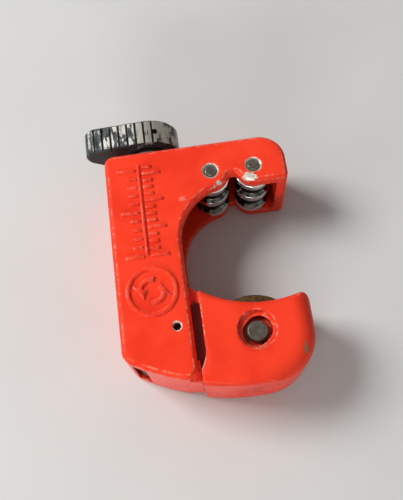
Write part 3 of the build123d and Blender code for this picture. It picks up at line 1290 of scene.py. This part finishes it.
@dataclass
class FeedScrew:
    """The feed screw with its cut thread, its collar and washer, and the knob on its end."""

    thread_radius: float = 3.5
    thread_depth: float = 0.65
    lead: float = 1.25
    tip: float = -3.4
    thread_end: float = 38.3
    runout: float = 1.5
    crest: float = 0.14
    root: float = 0.16
    tip_taper: float = 0.8
    tip_depth: float = 0.7
    segments: int = 40
    rows_per_lead: int = 8
    groove_radius: float = 2.7
    groove_end: float = 39.2
    collar_start: float = 44.1
    collar_radius: float = 5.2
    collar_end: float = 46.25
    chamfer: float = 0.25
    shank_radius: float = 2.8
    shank_end: float = 51.3
    sharp: float = 50.0

    def thread_height(self, y: float, angle: float) -> float:
        """Radius of the thread's surface.

        Args:
            y: Place along the screw.
            angle: Turn about it in radians.

        Returns:
            The radius in millimetres.
        """
        phase = (y / self.lead + angle / math.tau) % 1.0
        flank = (1.0 - self.crest - self.root) / 2
        if phase < self.crest:
            depth = 0.0
        elif phase < self.crest + flank:
            depth = (phase - self.crest) / flank
        elif phase < self.crest + flank + self.root:
            depth = 1.0
        else:
            depth = (1.0 - phase) / flank
        fade = min(1.0, (y - self.tip) / self.runout, (self.thread_end - y) / self.runout)
        taper = max(0.0, 1.0 - (y - self.tip) / self.tip_taper) * self.tip_depth
        return self.thread_radius - self.thread_depth * depth * max(0.0, fade) - taper

    def build(self, material: bpy.types.Material) -> bpy.types.Object:
        """Cut the thread and turn the rest of the screw in one mesh.

        Args:
            material: Finish.

        Returns:
            The new screw.
        """
        length = self.thread_end - self.tip
        rows = round(length / self.lead * self.rows_per_lead)
        eased_radius = self.collar_radius - self.chamfer
        turned = [
            (self.groove_radius, self.thread_end),
            (self.groove_radius, self.groove_end),
            (self.thread_radius, self.groove_end),
            (self.thread_radius, self.collar_start),
            (eased_radius, self.collar_start),
            (self.collar_radius, self.collar_start + self.chamfer),
            (self.collar_radius, self.collar_end - self.chamfer),
            (eased_radius, self.collar_end),
            (self.shank_radius, self.collar_end),
            (self.shank_radius, self.shank_end),
        ]
        work = bmesh.new()
        rings = [self.ring(work, self.tip + length * row / rows) for row in range(rows + 1)]
        rings += [self.ring(work, y, radius) for radius, y in turned]
        join_rings(work, rings)
        work.faces.new(rings[0])
        work.faces.new(list(reversed(rings[-1])))
        return close_mesh("screw_cut", work, material, self.sharp)

    def ring(
        self, work: bmesh.types.BMesh, y: float, radius: float | None = None
    ) -> list[bmesh.types.BMVert]:
        """Add one ring of points round the screw.

        Args:
            work: Mesh being built.
            y: Place along the screw.
            radius: Distance from the screw's axis, or None where the thread gives it.

        Returns:
            The new vertices in order.
        """
        points = []
        for segment in range(self.segments):
            angle = math.tau * segment / self.segments
            reach = self.thread_height(y, angle) if radius is None else radius
            spot = Vector((reach * math.cos(angle), y, MID_DEPTH + reach * math.sin(angle)))
            points.append(work.verts.new(spot * MM))
        return points

    def dress(self, dresser: Dresser, paints: Paints) -> None:
        """Finish the screw, its washer and clip, and the knob with its pin.

        Args:
            dresser: Ties pieces to bodies.
            paints: The finishes.
        """
        dresser.tie(self.build(paints.screw), Body.SCREW, Slot.STEEL, "feed_screw")
        dresser.finish_node("thrust_washer", paints.screw)
        dresser.finish_node("screw_clip", paints.spring)
        dresser.finish_node("knob", paints.black)
        dresser.finish_node("knob_pin", paints.cross_pin)


@dataclass
class Studio:
    """A pale floor, soft lamps, and a camera at the photograph's viewing angle."""

    camera_place: Place = (8.13, -29.95, 148.7)
    camera_look: Place = (0.0060, 0.3485, -0.9373)
    camera_right: Place = (0.99033, -0.13196, -0.04273)
    focal_pixels: float = 665.7
    photo_height: int = 500
    sensor: float = 36.0
    nearest_seen: float = 5.0
    lamps_aim: Place = (10.0, 20.0, MID_DEPTH)
    floor_reach: float = 1500.0
    floor_drop: float = 0.03
    floor_rough: float = 0.85
    floor_specular: float = 0.1
    floor_colour: Colour = (0.60, 0.595, 0.58)
    floor_shade: float = 0.97
    backdrop_tint: Colour = (1.0, 0.99, 0.97)
    backdrop_strength: float = 0.62
    fade_from: float = 130.0
    fade_to: float = 420.0
    world_strength: float = 0.27

    def build(self) -> None:
        """Set up the floor, the lamps, the world and the camera."""
        self.lay_floor()
        self.hang_lamp("key_lamp", place=(-425.0, 230.0, 510.0), sides=(280.0, 280.0), power=4.7)
        self.hang_lamp("rim_lamp", place=(-152.0, -370.0, 165.0), sides=(260.0, 50.0), power=0.95)
        self.light_world()
        self.stand_camera()

    def lay_floor(self) -> None:
        """Lay the floor just under the cutter's back; far away it turns into the backdrop."""
        mesh = bpy.data.meshes.new("floor")
        reach = self.floor_reach * MM
        mesh.from_pydata([(x * reach, y * reach, 0.0) for x, y in CORNERS], [], [(0, 1, 2, 3)])
        board = Board("pale_floor")
        grain = board.span(board.noise(30.0, 3.0), 0.3, 0.7)
        darker = tuple(part * self.floor_shade for part in self.floor_colour)
        near_colour = board.blend(grain, self.floor_colour, darker)
        away = board.add("ShaderNodeVectorMath", operation="LENGTH")
        board.join(board.place, away.inputs[0])
        far = board.span(away.outputs["Value"], self.fade_from * MM, self.fade_to * MM)
        glow = board.math("MULTIPLY", far, self.backdrop_strength)
        board.surface(
            {
                "Base Color": board.blend(far, near_colour, (0.0, 0.0, 0.0)),
                "Emission Strength": board.math("MULTIPLY", glow, seen_directly(board.tree)),
                "Emission Color": (*self.backdrop_tint, 1.0),
                "Roughness": self.floor_rough,
                "Specular IOR Level": self.floor_specular,
            }
        )
        mesh.materials.append(board.material)
        floor = new_object("floor", mesh)
        floor.location.z = -self.floor_drop * MM

    def hang_lamp(self, name: str, place: Place, sides: Point, power: float) -> None:
        """Hang a soft lamp that points at the cutter.

        Args:
            name: Name of the lamp.
            place: Where it hangs.
            sides: Its width and height.
            power: Its power in watts.
        """
        data = bpy.data.lights.new(name, "AREA")
        data.shape = "RECTANGLE"
        data.size = sides[0] * MM
        data.size_y = sides[1] * MM
        data.energy = power
        lamp = new_object(name, data)
        lamp.location = Vector(place) * MM
        aim = Vector(self.lamps_aim) - Vector(place)
        lamp.rotation_euler = aim.to_track_quat("-Z", "Y").to_euler()

    def light_world(self) -> None:
        """Fill in from all round with a plain world that looks pale behind the cutter."""
        world = bpy.data.worlds.new("studio")
        world.use_nodes = True
        tree = world.node_tree
        back = tree.nodes["Background"]
        back.inputs["Color"].default_value = (*self.backdrop_tint, 1.0)
        strength = tree.nodes.new("ShaderNodeMapRange")
        strength.inputs["To Min"].default_value = self.world_strength
        strength.inputs["To Max"].default_value = self.backdrop_strength
        tree.links.new(seen_directly(tree), strength.inputs["Value"])
        tree.links.new(strength.outputs["Result"], back.inputs["Strength"])
        bpy.context.scene.world = world
        bpy.context.scene.view_settings.view_transform = "Standard"

    def stand_camera(self) -> None:
        """Stand the camera, its field of view worked out from the photograph's pixels."""
        data = bpy.data.cameras.new("photo_camera")
        data.sensor_fit = "VERTICAL"
        data.sensor_height = self.sensor
        data.lens = self.focal_pixels * self.sensor / self.photo_height
        data.clip_start = self.nearest_seen * MM
        camera = new_object("photo_camera", data)
        back = -Vector(self.camera_look).normalized()
        right = Vector(self.camera_right)
        right = (right - back * right.dot(back)).normalized()
        up = back.cross(right)
        camera.matrix_world = Matrix.Translation(Vector(self.camera_place) * MM) @ Matrix(
            ((right.x, up.x, back.x), (right.y, up.y, back.y), (right.z, up.z, back.z))
        ).to_4x4()
        bpy.context.scene.camera = camera


def main() -> None:
    """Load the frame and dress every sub-assembly."""
    logging.basicConfig(level=logging.INFO, format="%(name)s: %(message)s")
    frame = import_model()
    dresser = Dresser(frame)
    paints = Paints.mix()
    for part in (FrameCasting(), RollerPair(), CuttingHead(), FeedScrew()):
        part.dress(dresser, paints)
        LOG.info("finished %s", type(part).__name__)
    Studio().build()


if __name__ == "__main__":
    main()
